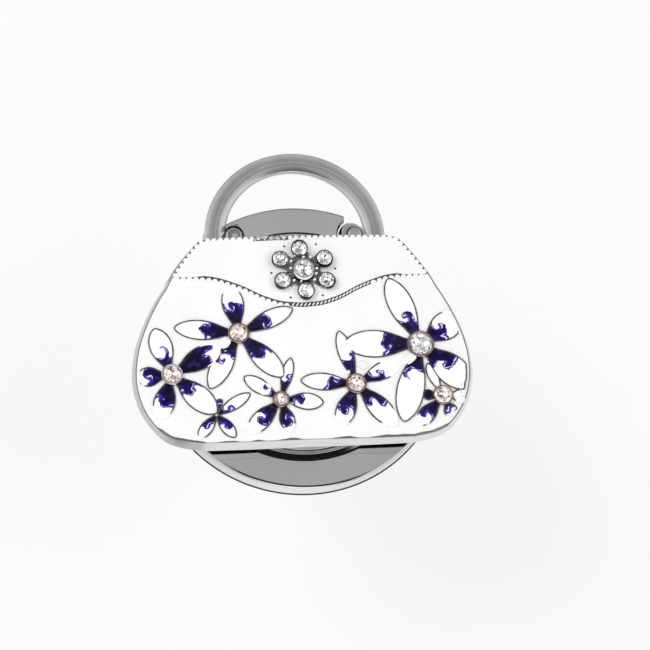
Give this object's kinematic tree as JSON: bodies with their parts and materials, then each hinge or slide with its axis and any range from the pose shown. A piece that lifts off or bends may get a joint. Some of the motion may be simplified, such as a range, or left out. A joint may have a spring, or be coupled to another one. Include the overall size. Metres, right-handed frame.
{
  "type": "purse hook",
  "caption": "Folding table hook for a handbag: round base with a non-slip pad, enamelled bag-shaped front, and a handle that swivels out into the hook.",
  "frame": {"origin": "middle of the rubber pad's flat underside", "axes": "+Z out of the enamelled front, +Y towards the handle's bow, +X to the right seen from the front"},
  "size_m": [0.0508, 0.0545, 0.0131],
  "materials": {
    "chrome": "polished plating over cast zinc alloy",
    "dark_metal": "darkened cast settings, softly polished",
    "steel": "plain steel",
    "rubber": "matte",
    "white_enamel": "glossy enamel fill",
    "purple_enamel": "glossy enamel, deep purple shading to white",
    "crystal": "clear cut stones"
  },
  "bodies": {
    "base": {"base_disc": "chrome", "rubber_pad": "rubber", "keeper_magnet": "steel", "plate_screw_1": "dark_metal", "plate_screw_2": "dark_metal", "plate_shell": "chrome", "body_enamel": "white_enamel", "flap_enamel": "white_enamel", "flower_1": "purple_enamel", "flower_2": "purple_enamel", "flower_3": "purple_enamel", "flower_4": "purple_enamel", "flower_5": "purple_enamel", "flower_6": "purple_enamel", "flower_7": "purple_enamel", "bezel_1": "dark_metal", "bezel_2": "dark_metal", "bezel_3": "dark_metal", "bezel_4": "dark_metal", "bezel_5": "dark_metal", "bezel_6": "dark_metal", "stone_1": "crystal", "stone_2": "crystal", "stone_3": "crystal", "stone_4": "crystal", "stone_5": "crystal", "stone_6": "crystal", "brooch_setting": "dark_metal", "brooch_stone_0": "crystal", "brooch_stone_1": "crystal", "brooch_stone_2": "crystal", "brooch_stone_3": "crystal", "brooch_stone_4": "crystal", "brooch_stone_5": "crystal", "brooch_stone_6": "crystal"},
    "handle": {"handle_bow": "chrome", "swivel_block": "chrome", "handle_rivet": "chrome", "swivel_clip": "steel", "swivel_washer": "steel", "hinge_pin": "chrome"},
    "hook": {"hook_arm": "chrome", "hinge_washer": "steel"}
  },
  "joints": [
    {"name": "handle_swivel", "type": "hinge", "parent": "base", "child": "handle", "pos_m": [0.0092, 0.0179, 0.0056], "axis": [0, -1, 0], "range_deg": [0, 90]},
    {"name": "hook_fold", "type": "hinge", "parent": "handle", "child": "hook", "pos_m": [-0.0092, 0.0179, 0.0056], "axis": [0, 0, -1], "range_deg": [0, 40]}
  ]
}
